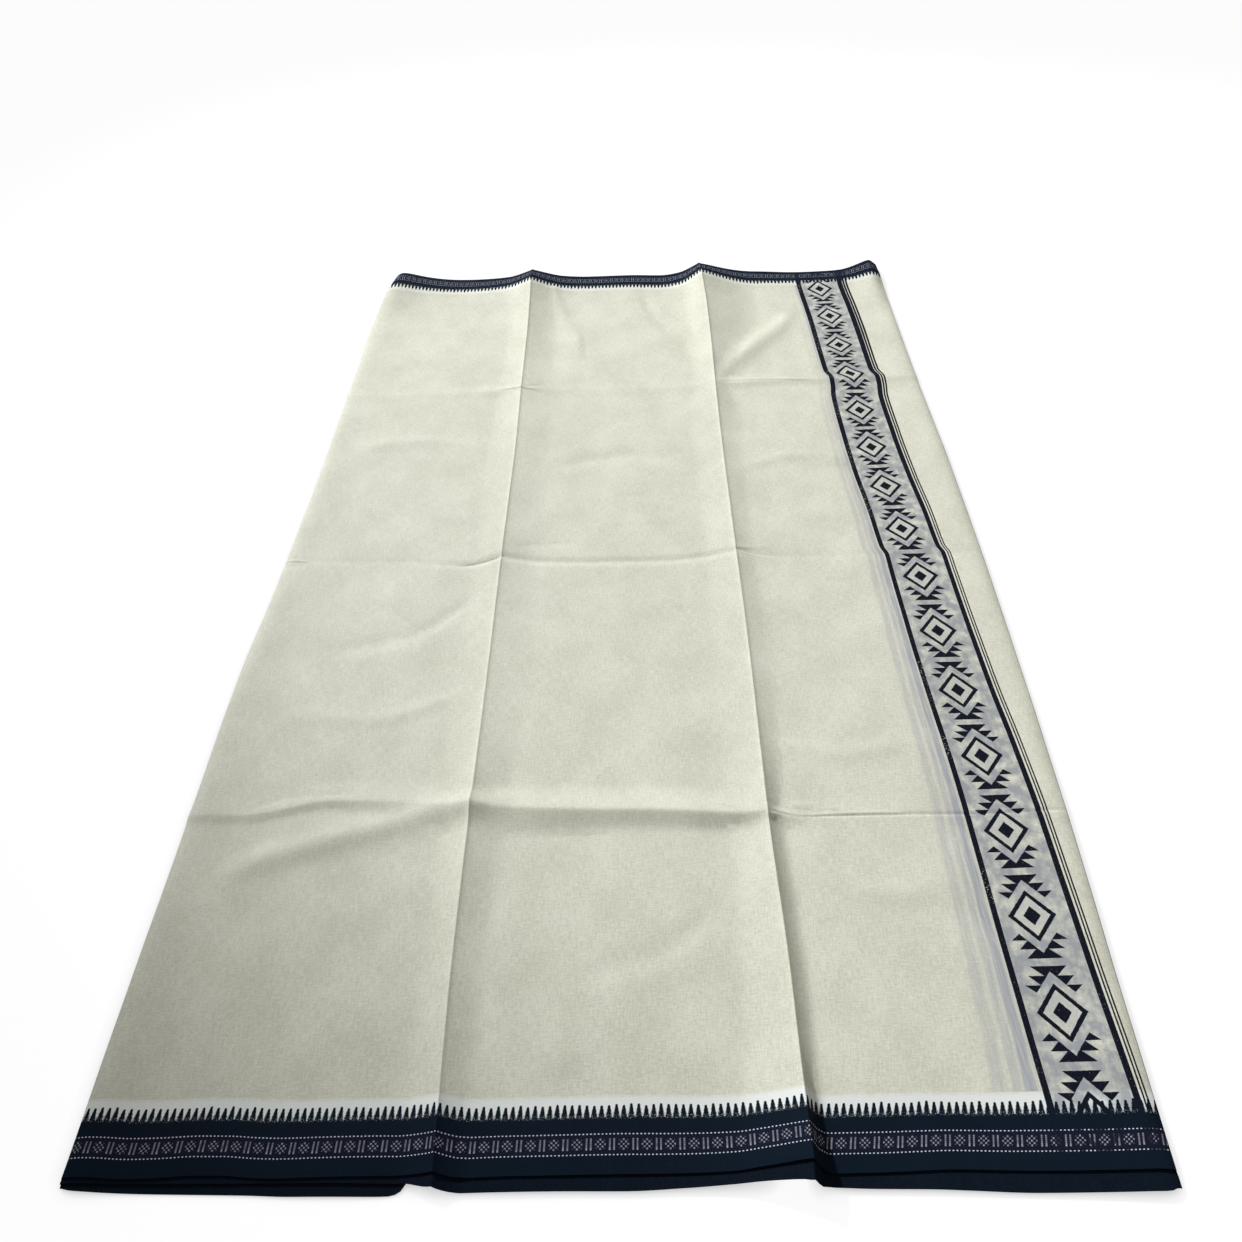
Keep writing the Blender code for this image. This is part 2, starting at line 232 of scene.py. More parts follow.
# How far the near and the far selvedge stray from a straight line
NEAR_SWAY = (
    # across, along
    (-0.345, -0.0015), (-0.326, -0.0015), (-0.31, -0.0022), (-0.288, -0.0015),
    (-0.262, 0.0002), (-0.245, 0.0002), (-0.225, -0.0014), (-0.208, -0.002),
    (-0.183, -0.0015), (-0.158, -0.0009), (-0.135, -0.0005), (-0.11, -0.001),
    (-0.097, -0.002), (-0.068, -0.001), (-0.03, -0.0005), (0.015, 0.0),
    (0.075, 0.0003), (0.094, 0.0008), (0.118, 0.0008), (0.13, -0.0006),
    (0.142, -0.0002), (0.17, 0.0006), (0.192, 0.0016), (0.208, 0.0022),
    (0.25, 0.0013), (0.285, 0.0009), (0.341, 0.0009),
)
FAR_SWAY = (
    # across, along
    (-0.34, 0.0), (-0.2, 0.0), (-0.06, 0.0), (0.0, -0.002),
    (0.04, -0.0045), (0.075, -0.001), (0.11, 0.0), (0.156, -0.0035),
    (0.225, -0.0085), (0.284, -0.0095), (0.31, -0.005), (0.34, -0.001),
)
SWAY_REACH = 0.075

# The far border curls up along the foot of its spikes
FAR_CURL = (
    # distance from the far selvedge, height
    (0.0, 0.0), (0.0385, 0.0028), (0.046, 0.0024), (0.06, 0.0012),
    (0.085, 0.0),
)

# How far the hidden layers' near selvedges stand out past the top layer's, as signed distances along
SECOND_LAYER_STEP = (
    # across, along
    (-0.35, -0.0045), (-0.24, -0.0042), (-0.13, -0.0048), (-0.113, -0.0089),
    (-0.1, -0.0105), (-0.076, -0.0101), (-0.029, -0.0096), (0.008, -0.0098),
    (0.046, -0.0082), (0.083, -0.0069), (0.115, -0.0095), (0.124, -0.0113),
    (0.134, -0.0082), (0.158, -0.0088), (0.195, -0.0092), (0.217, -0.01),
    (0.258, -0.0115), (0.308, -0.0117), (0.334, -0.0118), (0.3405, -0.0095),
    (0.35, -0.0095),
)
THIRD_LAYER_STEP = (
    # across, along
    (-0.3455, -0.006), (-0.336, -0.0084), (-0.308, -0.0094), (-0.266, -0.0101),
    (-0.227, -0.0108), (-0.198, -0.0119), (-0.155, -0.012), (-0.139, -0.0118),
    (-0.133, -0.0106), (-0.13, -0.0088), (-0.127, -0.004), (-0.11, -0.003),
    (0.35, -0.006),
)

# The printed band's centre line
BAND_CENTRE = (
    # along, across
    (0.045, 0.303), (0.14, 0.3005), (0.29, 0.2975), (0.36, 0.2945),
    (0.42, 0.291), (0.5, 0.2875), (0.59, 0.2845), (0.616, 0.284),
    (0.629, 0.2806), (0.69, 0.2775), (0.76, 0.272), (0.84, 0.268),
    (0.92, 0.266), (0.953, 0.2682), (0.966, 0.268), (0.985, 0.2635),
    (1.03, 0.2615), (1.1, 0.259), (1.16, 0.256), (1.22, 0.252),
)

# How far the print strays from its even repeat, where the cloth was drawn in or stretched under the blocks
PRINT_DRIFT = (
    # along, drift
    (0.25, 0.0), (0.35, 0.0015), (0.5, 0.003), (0.58, 0.0022),
    (0.66, 0.0036), (0.74, 0.0058), (0.82, 0.0088), (0.9, 0.0098),
    (0.97, 0.0036), (1.01, 0.006), (1.06, 0.0112), (1.14, 0.0105),
    (1.22, 0.009),
)

# The mesh lines, as offsets from each crease and from the folded edges, and how many lie between them
CREASE_OFFSETS = (
    0.0004, 0.0009, 0.0015, 0.0023, 0.0033, 0.0046, 0.0063,
    0.0085, 0.0115, 0.015, 0.019, 0.0235, 0.028,
)
EDGE_OFFSETS = (0.0, 0.0012, 0.003, 0.0055, 0.009, 0.0135)
COLUMN_COUNTS = (52, 48, 52)
ROW_COUNTS = (50, 68, 66, 56)
BORDER_ROWS = 27
FOLD_STEPS = 10  # round each rolled edge
BACK_STEP = 3  # the inner face takes every third line

# The hidden layers' own mesh lines
LAYER_OFFSETS = (0.0012, 0.003, 0.006, 0.01, 0.014, 0.017, 0.02, 0.023, 0.027)
LAYER_EDGE_OFFSETS = (0.0, 0.0012, 0.003, 0.006, 0.01)
LAYER_COLUMN_COUNTS = (30, 26, 30)
LAYER_ROW_COUNTS = (18, 24, 24, 20)
LAYER_BORDER_ROWS = 16
LAYER_BORDER_POWER = 1.4  # a hidden layer's lines lie closer near its selvedges
LAYER_INSET = 0.0026  # from the folded edge to a hidden layer's own, where the top layer covers it
INSET_FROM = 0.0075
INSET_TO = 0.013
STEP_REACH = 0.04  # how far from its selvedge a hidden layer is shifted
SECOND_FOLLOWS = 0.92  # the share of the top layer's relief that a hidden layer takes
THIRD_FOLLOWS = 0.84


def through(rows, at, column=1):
    """The value of a table's column at a place, on a smooth curve through its rows that never overshoots."""
    table = np.array(rows)
    place, value = table[:, 0], table[:, column]
    steps = np.diff(place)
    secants = np.diff(value) / steps
    same_way = secants[:-1] * secants[1:] > 0
    sums = np.where(same_way, secants[:-1] + secants[1:], 1.0)
    slopes = np.where(same_way, 2 * secants[:-1] * secants[1:] / sums, 0.0)
    slopes = np.concatenate([secants[:1], slopes, secants[-1:]])
    at = np.clip(at, place[0], place[-1])
    row = np.clip(np.searchsorted(place, at) - 1, 0, len(steps) - 1)
    t = (at - place[row]) / steps[row]
    start = (1 + 2 * t) * (1 - t) ** 2 * value[row] + t * (1 - t) ** 2 * slopes[row] * steps[row]
    end = t**2 * (3 - 2 * t) * value[row + 1] - t**2 * (1 - t) * slopes[row + 1] * steps[row]
    return start + end


def rounded(distance, radius):
    """A distance that starts level, so that what falls off with it has a rounded top."""
    return np.sqrt(distance**2 + radius**2) - radius


def crest(distance, before, after, radius):
    """A pressed fold's profile, 1 at its crest, with nearly straight faces on both sides."""
    reach = np.where(distance < 0, before, after) * FACE_REACHES
    return np.maximum(1 - rounded(distance, radius) / reach, 0) ** FACE_POWER


def swell(distance, before, after):
    """A soft swelling's profile, 1 at its middle."""
    return np.exp(-(np.abs(distance / np.where(distance < 0, before, after)) ** SWELL_POWER))


def crease_height(x, along):
    """How far the creases raise the top face above the flat cloth."""
    total, knife = 0.0, 0.0
    for crease in (LEFT_CREASE, RIGHT_CREASE):
        offset = x - through(crease, along)
        height, before, after = (through(crease, along, column) for column in (2, 3, 4))
        total = total + (height * crest(offset, before, after, CREST_RADIUS)) ** 2
        knife = knife + KNIFE_HEIGHT * np.exp(-rounded(offset, KNIFE_RADIUS) / KNIFE_REACH)
    for crease in CROSS_RIDGES:
        total = total + cross_fold(crease, x, along) ** 2
    return np.sqrt(total) + knife


def cross_fold(crease, x, along):
    """The height of one crease across the bundle."""
    height, before, after = (through(crease, x, column) for column in (2, 3, 4))
    return height * crest(along - through(crease, x), before, after, CROSS_CREST_RADIUS)


def lift_height(x, along):
    """How far the whole stack stands clear of the floor."""
    total = 0.0
    for across, place, height, left, right, near, far in LIFTS:
        total = total + height * swell(x - across, left, right) * swell(along - place, near, far)
    return np.maximum(total - FLAT_BELOW, 0.0)


def edge_roll(x, along):
    """The swelling just inside both folded edges."""
    total = 0.0
    for column, side in ((1, 1), (2, -1)):
        inside = np.maximum(side * (x - through(FOLDED_EDGES, along, column)), 0) / ROLL_REACH
        total = total + ROLL_HEIGHT * inside * np.exp(1 - inside)
    return total


def small_fold(x, along, height, width, places):
    """One small fold along a curve through places, fading out at both of its ends."""
    places = sorted(places)
    (left, first), (right, last) = places[0], places[-1]
    lean = math.hypot(right - left, last - first) / (right - left)
    distance = np.abs(along - through(places, x)) / lean
    fade = np.clip(np.minimum(x - left, right - x) * lean / max(FOLD_TAPER, 1.6 * width), 0, 1)
    return height * fade * np.exp(-((distance / (width * 0.6)) ** 2))


# The slight unevenness of the whole cloth
WAVE_HEIGHT = 0.0006
WAVE_LEVEL = 1.2


def small_relief(x, along):
    """The middle valley, the small folds and the slight unevenness that a pressed cloth keeps."""
    total = cross_fold(MIDDLE_CROSS_CREASE, x, along) + edge_roll(x, along)
    total = total + through(FAR_CURL, LOOM_WIDTH - along)
    for fold in SMALL_FOLDS:
        total = total + small_fold(x, along, *fold)
    waves = (
        np.sin(31 * x + 7 * along + 1.0) * np.sin(17 * along - 9 * x + 0.4)
        + 0.6 * np.sin(57 * x - 23 * along + 2.0) * np.sin(39 * along + 11 * x)
    )
    return total + WAVE_HEIGHT * (waves + WAVE_LEVEL)


def sway(x, along):
    """How far the cloth strays along the bundle, near its two selvedges."""
    near = through(NEAR_SWAY, x) * np.exp(-np.maximum(along, 0) / SWAY_REACH)
    far = through(FAR_SWAY, x) * np.exp(-np.maximum(LOOM_WIDTH - along, 0) / SWAY_REACH)
    return near + far


def place_of(x, along, z):
    """Points of the cloth from their places across the bundle, along it and above the floor."""
    return np.stack([x, NEAR_EDGE_Y + along, z], axis=-1)


def mirrored(offsets):
    """Offsets on both sides of a crease, with the crease itself, as a column."""
    offsets = np.array(offsets)
    return np.concatenate([-offsets[::-1], [0.0], offsets])[:, None]


def spread(groups, counts):
    """Mesh lines through groups of them, with a number of even lines between two neighbouring groups."""
    lines = [groups[0]]
    for group, count in zip(groups[1:], counts):
        share = np.arange(1, count + 1)[:, None] / (count + 1)
        last = lines[-1][-1]
        lines += [last + (group[0] - last) * share, group]
    return np.concatenate(lines)


def columns(along, offsets, edge_offsets, counts, inset):
    """The places across the bundle of the lengthwise mesh lines, a row for each line."""
    left = through(FOLDED_EDGES, along, 1) + inset
    right = through(FOLDED_EDGES, along, 2) - inset
    edge = np.array(edge_offsets)[:, None]
    creases = [through(crease, along) + mirrored(offsets) for crease in (LEFT_CREASE, RIGHT_CREASE)]
    return spread([left + edge, *creases, right - edge[::-1]], counts)


def rows(x, offsets, counts, border_rows, power=1.0):
    """The distances along the bundle of the crosswise mesh lines, a row for each line."""
    border = BORDER_WIDTH * np.linspace(0.0, 1.0, border_rows)[:, None] ** power + np.zeros(len(x))
    creases = [through(crease, x) + mirrored(offsets) for crease in CROSS_CREASES]
    return spread([border, *creases, LOOM_WIDTH - border[::-1]], counts)


def net_of(offsets, edge_offsets, column_counts, row_counts, border_rows, inset_at, power=1.0):
    """Places (across, along) where the mesh lines meet, as two arrays with a row for each crosswise line."""
    middle = rows(np.zeros(1), offsets, row_counts, border_rows, power)[:, 0]
    across = columns(middle, offsets, edge_offsets, column_counts, inset_at(middle)).T
    along = [rows(places, offsets, row_counts, border_rows, power)[row] for row, places in enumerate(across)]
    return across, np.array(along)


def fold_inset(along):
    """The top layer's flat part ends where its folded edges start to turn."""
    return np.full_like(along, FOLD_RADIUS)


def layer_inset(along):
    """A hidden layer lies inside the top layer's folded edges, and is as wide as they are where it shows."""
    return LAYER_INSET * np.clip((along - INSET_FROM) / (INSET_TO - INSET_FROM), 0, 1)


def normals_of(points):
    """The normal at each point of a face that is laid out in rows and columns."""
    facing = np.cross(np.gradient(points, axis=1), np.gradient(points, axis=0))
    return facing / np.linalg.norm(facing, axis=-1, keepdims=True)


def distance_across(points):
    """How far each point lies from the middle column, measured over the surface."""
    steps = np.linalg.norm(np.diff(points, axis=1), axis=-1)
    run = np.concatenate([np.zeros((len(points), 1)), np.cumsum(steps, axis=1)], axis=1)
    middle = points.shape[1] // 2
    return run - run[:, middle : middle + 1] + points[:, middle : middle + 1, 0]


@functools.cache
def top_face():
    """The whole top layer's outer face: its points, and their places across, along and from the band."""
    across, along = net_of(CREASE_OFFSETS, EDGE_OFFSETS, COLUMN_COUNTS, ROW_COUNTS, BORDER_ROWS, fold_inset)
    foot = lift_height(across, along)
    top = REST_TOP + crease_height(across, along) + small_relief(across, along) + foot
    turn = np.radians(np.linspace(-90, 90, FOLD_STEPS + 1))[:-1]
    blocks = []
    for side, spot, angles in ((-1, 0, turn), (1, -1, turn[::-1])):
        middle = (top[:, spot] + foot[:, spot])[:, None] / 2
        half = (top[:, spot] - foot[:, spot])[:, None] / 2
        x = across[:, spot][:, None] + side * FOLD_RADIUS * np.cos(angles)
        blocks.append((x, along[:, spot][:, None] + 0 * x, middle + half * np.sin(angles)))
    left, right = blocks
    x, along, z = (np.concatenate(parts, axis=1) for parts in zip(left, (across, along, top), right))
    points = place_of(x, along + sway(x, along), z)
    over = distance_across(points)
    flat = x.copy()
    for nose, last in ((slice(0, FOLD_STEPS), FOLD_STEPS), (slice(-FOLD_STEPS, None), -FOLD_STEPS - 1)):
        flat[:, nose] = x[:, last : last + 1 or None] + over[:, nose] - over[:, last : last + 1 or None]
    return points, over, along, flat - through(BAND_CENTRE, along)


def rim(outer, inner, step):
    """The faces that close a shell along one side, from its outer points to its fewer inner ones."""
    faces = []
    for spot in range(len(inner) - 1):
        start, end = step[spot], step[spot + 1]
        faces.append((inner[spot], inner[spot + 1], *outer[start : end + 1][::-1]))
    return faces


def every(count, step):
    """Every so many lines of a number of them, and always the last one."""
    return np.unique(np.append(np.arange(0, count, step), count - 1))


def quads(index):
    """The faces between points that are laid out in rows and columns."""
    corners = (index[:-1, :-1], index[:-1, 1:], index[1:, 1:], index[1:, :-1])
    return np.stack([corner.ravel() for corner in corners], axis=1).tolist()


BACK_SHARE = 0.12  # of the square bake map, for a sheet's inner face
BACK_GAP = 0.01


def new_sheet(name, points, facing, maps, thickness, back_step):
    """A closed sheet of cloth from its outer face. Its inner face takes only some of the lines, and the
    maps are its UV maps, as pairs of arrays."""
    count_rows, count_columns = points.shape[:2]
    back_rows, back_columns = every(count_rows, back_step), every(count_columns, back_step)
    back = np.ix_(back_rows, back_columns)
    outer = np.arange(count_rows * count_columns).reshape(count_rows, count_columns)
    inner = outer.size + np.arange(back_rows.size * back_columns.size)
    inner = inner.reshape(back_rows.size, back_columns.size)
    behind = points[back] - facing[back] * thickness
    faces = quads(outer) + [face[::-1] for face in quads(inner)]
    smooth_faces = len(faces)
    faces += rim(outer[0], inner[0], back_columns)
    faces += rim(outer[-1][::-1], inner[-1][::-1], (count_columns - 1 - back_columns)[::-1])
    faces += rim(outer[:, -1], inner[:, -1], back_rows)
    faces += rim(outer[::-1, 0], inner[::-1, 0], (count_rows - 1 - back_rows)[::-1])

    mesh = bpy.data.meshes.new(name)
    mesh.from_pydata(np.concatenate([points.reshape(-1, 3), behind.reshape(-1, 3)]), [], faces)
    mesh.shade_smooth()
    corner = np.empty(len(mesh.loops), dtype=np.int32)
    mesh.loops.foreach_get("vertex_index", corner)
    for map_name, (u, v) in maps.items():
        values = np.stack([np.append(part.ravel(), part[back].ravel()) for part in (u, v)], axis=1)
        if map_name == "OFBake":
            values[: outer.size, 1] = BACK_SHARE + (1 - BACK_SHARE) * values[: outer.size, 1]
            values[outer.size :, 1] *= BACK_SHARE - BACK_GAP
        layer = mesh.uv_layers.new(name=map_name)
        layer.data.foreach_set("uv", values[corner].astype(np.float32).ravel())
    mesh.uv_layers.active = mesh.uv_layers["OFBake"]
    shade = np.concatenate([facing.reshape(-1, 3), -facing[back].reshape(-1, 3)])[corner]
    for face in mesh.polygons[smooth_faces:]:
        shade[face.loop_start : face.loop_start + face.loop_total] = face.normal
    mesh.normals_split_custom_set(shade.tolist())
    piece = bpy.data.objects.new(name, mesh)
    bpy.context.scene.collection.objects.link(piece)
    return piece


def bake_map(over, along):
    """A sheet's places spread over a square."""
    return tuple((part - part.min()) / np.ptp(part) for part in (over, along))


def top_piece(name, first, last, thickness):
    """A stretch of the top layer between two of its crosswise lines."""
    points, over, along, aside = top_face()
    facing = normals_of(points)
    part = slice(first, last + 1)
    maps = {
        "cloth": (over[part], along[part]),
        "band": (aside[part], along[part] + through(PRINT_DRIFT, along[part])),
        "OFBake": bake_map(over[part], along[part]),
    }
    return new_sheet(name, points[part], facing[part], maps, thickness, BACK_STEP)


def layer_piece(name, steps, level, follow, thickness):
    """A hidden layer, with its selvedges shifted by a table of steps. It lies at a level and follows a share
    of the creases."""
    counts = (LAYER_COLUMN_COUNTS, LAYER_ROW_COUNTS, LAYER_BORDER_ROWS)
    across, along = net_of(LAYER_OFFSETS, LAYER_EDGE_OFFSETS, *counts, layer_inset, LAYER_BORDER_POWER)
    ends = np.maximum(1 - along / STEP_REACH, 0) + np.maximum(1 - (LOOM_WIDTH - along) / STEP_REACH, 0)
    shifted = along + through(steps, across) * ends
    relief = crease_height(across, shifted) + small_relief(across, shifted)
    z = np.maximum(level + follow * relief, thickness) + lift_height(across, shifted)
    points = place_of(across, shifted, z)
    over = distance_across(points)
    aside = over - through(BAND_CENTRE, along)
    maps = {"cloth": (over, along), "band": (aside, along), "OFBake": bake_map(over, along)}
    return new_sheet(name, points, normals_of(points), maps, thickness, 1)


def tone(red, green, blue):
    """A colour for Blender from the numbers that a paint chart gives, 0 to 255."""
    shares = (number / 255 for number in (red, green, blue))
    return tuple(share / 12.92 if share <= 0.04045 else ((share + 0.055) / 1.055) ** 2.4 for share in shares)


class Field:
    """A value that varies over the cloth. Arithmetic on it lays the shader nodes that work it out."""

    def __init__(self, socket):
        self.socket = socket
        self.tree = socket.id_data

    def maths(self, operation, *others, clamp=False):
        node = self.tree.nodes.new("ShaderNodeMath")
        node.operation = operation
        node.use_clamp = clamp
        for value, socket in zip((self, *others), node.inputs):
            feed(value, socket)
        return Field(node.outputs[0])

    def __add__(self, other):
        return self.maths("ADD", other)

    def __sub__(self, other):
        return self.maths("SUBTRACT", other)

    def __mul__(self, other):
        return self.maths("MULTIPLY", other)

    def __truediv__(self, other):
        return self.maths("DIVIDE", other)

    def __neg__(self):
        return self * -1.0

    def __abs__(self):
        return self.maths("ABSOLUTE")

    def least(self, other):
        return self.maths("MINIMUM", other)

    def most(self, other):
        return self.maths("MAXIMUM", other)

    def below(self, limit, blur=0.12):
        """1 where the value is under a limit, 0 where it is over it, with a blurred step between."""
        return ((self - limit) / -blur).maths("ADD", 0.5, clamp=True)

    def strip(self, low, high, blur=0.12):
        """1 between two values."""
        return abs(self - (low + high) / 2).below((high - low) / 2, blur)

    def folded(self, half):
        """The value folded to and fro between 0 and half a repeat."""
        return self.maths("PINGPONG", half)

    def curve(self, points):
        """A value read from a curve through points (place, value), all from 0 to 1."""
        node = self.tree.nodes.new("ShaderNodeFloatCurve")
        line = node.mapping.curves[0]
        for place, value in points[1:-1]:
            line.points.new(place, value)
        for point, (place, value) in zip(line.points, points):
            point.location = (place, value)
        node.mapping.update()
        feed(self, node.inputs["Value"])
        return Field(node.outputs[0])


def feed(value, socket):
    """Puts a field or a plain value into a socket."""
    if isinstance(value, Field):
        value.tree.links.new(value.socket, socket)
    else:
        socket.default_value = value


def noise(across, along, detail=2.0, roughness=0.5):
    """Soft noise from 0 to 1, whose grains are one unit of each field long."""
    tree = across.tree
    place = tree.nodes.new("ShaderNodeCombineXYZ")
    feed(across, place.inputs["X"])
    feed(along, place.inputs["Y"])
    node = tree.nodes.new("ShaderNodeTexNoise")
    node.noise_dimensions = "2D"
    tree.links.new(place.outputs[0], node.inputs["Vector"])
    for name, value in (("Scale", 1.0), ("Detail", detail), ("Roughness", roughness)):
        node.inputs[name].default_value = value
    return Field(node.outputs["Fac"])


def random_by(number):
    """A random value from 0 to 1 for each whole number."""
    node = number.tree.nodes.new("ShaderNodeTexWhiteNoise")
    node.noise_dimensions = "1D"
    feed(number.maths("FLOOR"), node.inputs["W"])
    return Field(node.outputs["Value"])


def mixed(share, first, second):
    """One colour turned into another by a share."""
    node = share.tree.nodes.new("ShaderNodeMix")
    node.data_type = "RGBA"
    feed(share, node.inputs[0])
    for colour, socket in ((first, node.inputs[6]), (second, node.inputs[7])):
        feed(colour if isinstance(colour, Field) else (*colour, 1.0), socket)
    return Field(node.outputs[2])


def new_group(name, inputs, outputs):
    """An empty shader node group with its inputs as fields, and a function that fills its outputs."""
    tree = bpy.data.node_groups.new(name, "ShaderNodeTree")
    for names, way in ((inputs, "INPUT"), (outputs, "OUTPUT")):
        for socket in names:
            tree.interface.new_socket(socket, in_out=way, socket_type="NodeSocketFloat")
    start = tree.nodes.new("NodeGroupInput")
    end = tree.nodes.new("NodeGroupOutput")

    def finish(*values):
        for value, socket in zip(values, end.inputs):
            feed(value, socket)
        return tree

    return [Field(start.outputs[socket]) for socket in inputs], finish


@functools.cache
def plain_weave():
    """Threads over and under each other, with the thick and thin places of a handloom yarn."""
    inputs = ("Across", "Along", "Thread")
    (across, along, thread), finish = new_group("Plain weave", inputs, ("Height", "Tone"))
    u, v = across / thread, along / thread
    over = (u.maths("FLOOR") + v.maths("FLOOR")).maths("FLOORED_MODULO", 2.0)
    warp, weft = abs((u * math.pi).maths("SINE")), abs((v * math.pi).maths("SINE"))
    height = over * warp * (weft * 0.5 + 0.5) + (over * -1.0 + 1.0) * weft * (warp * 0.5 + 0.5)
    weft_slubs = noise(across / 7.0, along / 0.9)
    warp_slubs = noise(across / 0.9, along / 9.0)
    grain = noise(across / 2.2, along / 1.7, detail=3.0, roughness=0.7)
    clouds = noise(across / 38.0, along / 55.0, detail=4.0, roughness=0.6)
    slubs = weft_slubs + warp_slubs
    tone = slubs * 0.42 + grain * 0.5 + clouds * 0.38
    return finish(height * 0.5 + slubs * 0.45 + grain * 0.3, tone - 0.36)


# The printed band's sizes in millimetres, from its middle and from a diamond's centre
PRINT_REPEAT = 79.2
PRINT_START = 28.8  # a diamond's centre, from the near selvedge
PRINT_MIDDLE = -0.9  # the diamonds' own middle, from the band's
DIAMOND_OUTER = (17.0, 22.5)
DIAMOND_INNER = (12.8, 17.6)
DIAMOND_CORE = (6.2, 8.4)
COMB_SLOPE = 0.78
COMB_POINT = 31.9
# The comb's teeth: where each starts and ends, and how far out
TEETH = (
    # start, start_out, end, end_out
    (15.3, 12.9, 21.2, 19.4),
    (21.2, 8.4, 28.7, 15.6),
    (28.7, 4.6, 36.5, 12.5),
)


# The black stripes, which spread towards the far end
PRINT_STRIPES = ((-29.0, -24.6), (25.7, 30.1), (31.6, 32.8), (33.9, 35.1))
SPREAD_FROM = 600.0
SPREAD_OVER = 500.0
# The faint grey streaks beside the left stripe, at shares of the way to it
STREAK_REACH = 60.0
STREAKS = (
    (0.0, 0.0), (0.17, 0.05), (0.23, 0.38), (0.31, 0.42),
    (0.37, 0.14), (0.42, 0.50), (0.48, 0.55), (0.51, 0.30),
    (0.54, 0.85), (0.62, 0.95), (0.65, 0.45), (0.70, 0.3),
    (1.0, 0.0),
)

@functools.cache
def printed_band():
    """The printed band of diamonds and combs between two stripes, in millimetres from its middle."""
    outputs = ("Ink", "Wash", "Lilac", "Streak")
    (aside, along), finish = new_group("Printed band", ("Aside", "Along"), outputs)
    wobble = noise(aside / 3.0, along / 3.0) * 0.5 - 0.25
    side = abs(aside - PRINT_MIDDLE) + wobble
    away = (along - PRINT_START).folded(PRINT_REPEAT / 2) + wobble
    diamonds = ((DIAMOND_OUTER, 0.01), (DIAMOND_INNER, 0.01), (DIAMOND_CORE, 0.02))
    outer, inner, core = (
        (side / half_width + away / half_length).below(1.0, blur)
        for (half_width, half_length), blur in diamonds
    )
    point = away * -COMB_SLOPE + COMB_POINT * COMB_SLOPE
    outside = (point - side).below(0.0)
    ink = outer.least(inner * -1.0 + 1.0).most(core)
    for start, start_out, end, end_out in TEETH:
        slope = (end_out - start_out) / (end - start)
        tooth = (side - away * slope).below(start_out - slope * start).least(away.strip(start, end))
        ink = ink.most(tooth.least(outside))
    worn = noise(aside / 1.1, along / 1.6, detail=3.0).below(0.27, 0.05) * 0.25
    far = (along / SPREAD_OVER).maths("SUBTRACT", SPREAD_FROM / SPREAD_OVER, clamp=True)
    edge = aside - (aside - PRINT_STRIPES[1][1]).most(0.0) * far * 0.33
    for low, high in PRINT_STRIPES:
        from_middle = abs(edge + wobble * 0.3 - (low + high) / 2)
        ink = ink.most((from_middle - far * (high - low) * 0.2).below((high - low) / 2, 0.25))
    nicks = noise(aside / 2.2, along / 0.9, detail=2.0).below(0.30, 0.04) * aside.below(-20.0)
    nicks = nicks * noise(aside / 90.0, along / 60.0).below(0.47, 0.05)
    cloud = noise(aside / 9.0, along / 13.0, detail=4.0, roughness=0.6)
    ghost = (side * 0.5 + away).folded(9.0) / 9.0
    between = away.strip(19.5, 26.0, 3.0) * abs(point - side).below(3.0, 5.0)
    patches = (cloud * 2.4 + ghost * 0.35 - 0.65).maths("ADD", 0.0, clamp=True)
    wash = aside.strip(PRINT_STRIPES[0][1], PRINT_STRIPES[1][0], 0.5) * (inner * -0.6 + 1.0) * patches
    lilac = outer.most(between * 0.8) * (inner * -0.8 + 1.0)
    out = (aside - PRINT_STRIPES[0][0]) * (along * 0.0013 + 0.87)
    shifted = (out + noise(aside / 60.0, along / 70.0) * 3.0 + 39.5) / STREAK_REACH
    streak = shifted.curve(STREAKS) * (noise(aside / 1.6, along / 30.0, detail=3.0) * 2.0 + 0.2)
    line = aside.strip(-33.0, -29.5, 1.2) * far * 0.8
    streak = (streak * (far * -0.75 + 1.0)).most(line) * aside.below(PRINT_STRIPES[0][0], 1.0)
    return finish(ink * ((worn + nicks) * -1.0 + 1.0), wash, lilac, streak)


# The woven border's sizes in millimetres, from its selvedge
SPIKE_PITCH = 4.76
SPIKE_BASE = 36.6
SPIKE_TIP = 45.1
SPIKE_SHAPE = (
    # share of its height, share of half its width
    (0.0, 1.0), (0.12, 0.93), (0.30, 0.82), (0.42, 0.68),
    (0.62, 0.58), (0.75, 0.44), (0.85, 0.41), (0.93, 0.36),
    (0.98, 0.22), (1.0, 0.0),
)
SPIKE_HALF = 2.2
DOT_PITCH = 2.44
DOT_LENGTH = 0.62
DOT_WIDTH = 0.42
DOT_ROWS = (12.2, 25.5)
MOTIF_REPEAT = 14.66
MOTIF_MIDDLE = 18.9
MOTIF_HALF = 3.8
MOTIF_GROUND = (13.2, 24.6)
LATTICE_ACROSS = 2.95
LATTICE_ALONG = 3.0
BAR_FROM = MOTIF_REPEAT / 2 - 1.85
BAR_TO = MOTIF_REPEAT / 2 - 0.85
STRIPE_FADE = (48.8, 52.4)
RIB_PITCH = 1.22


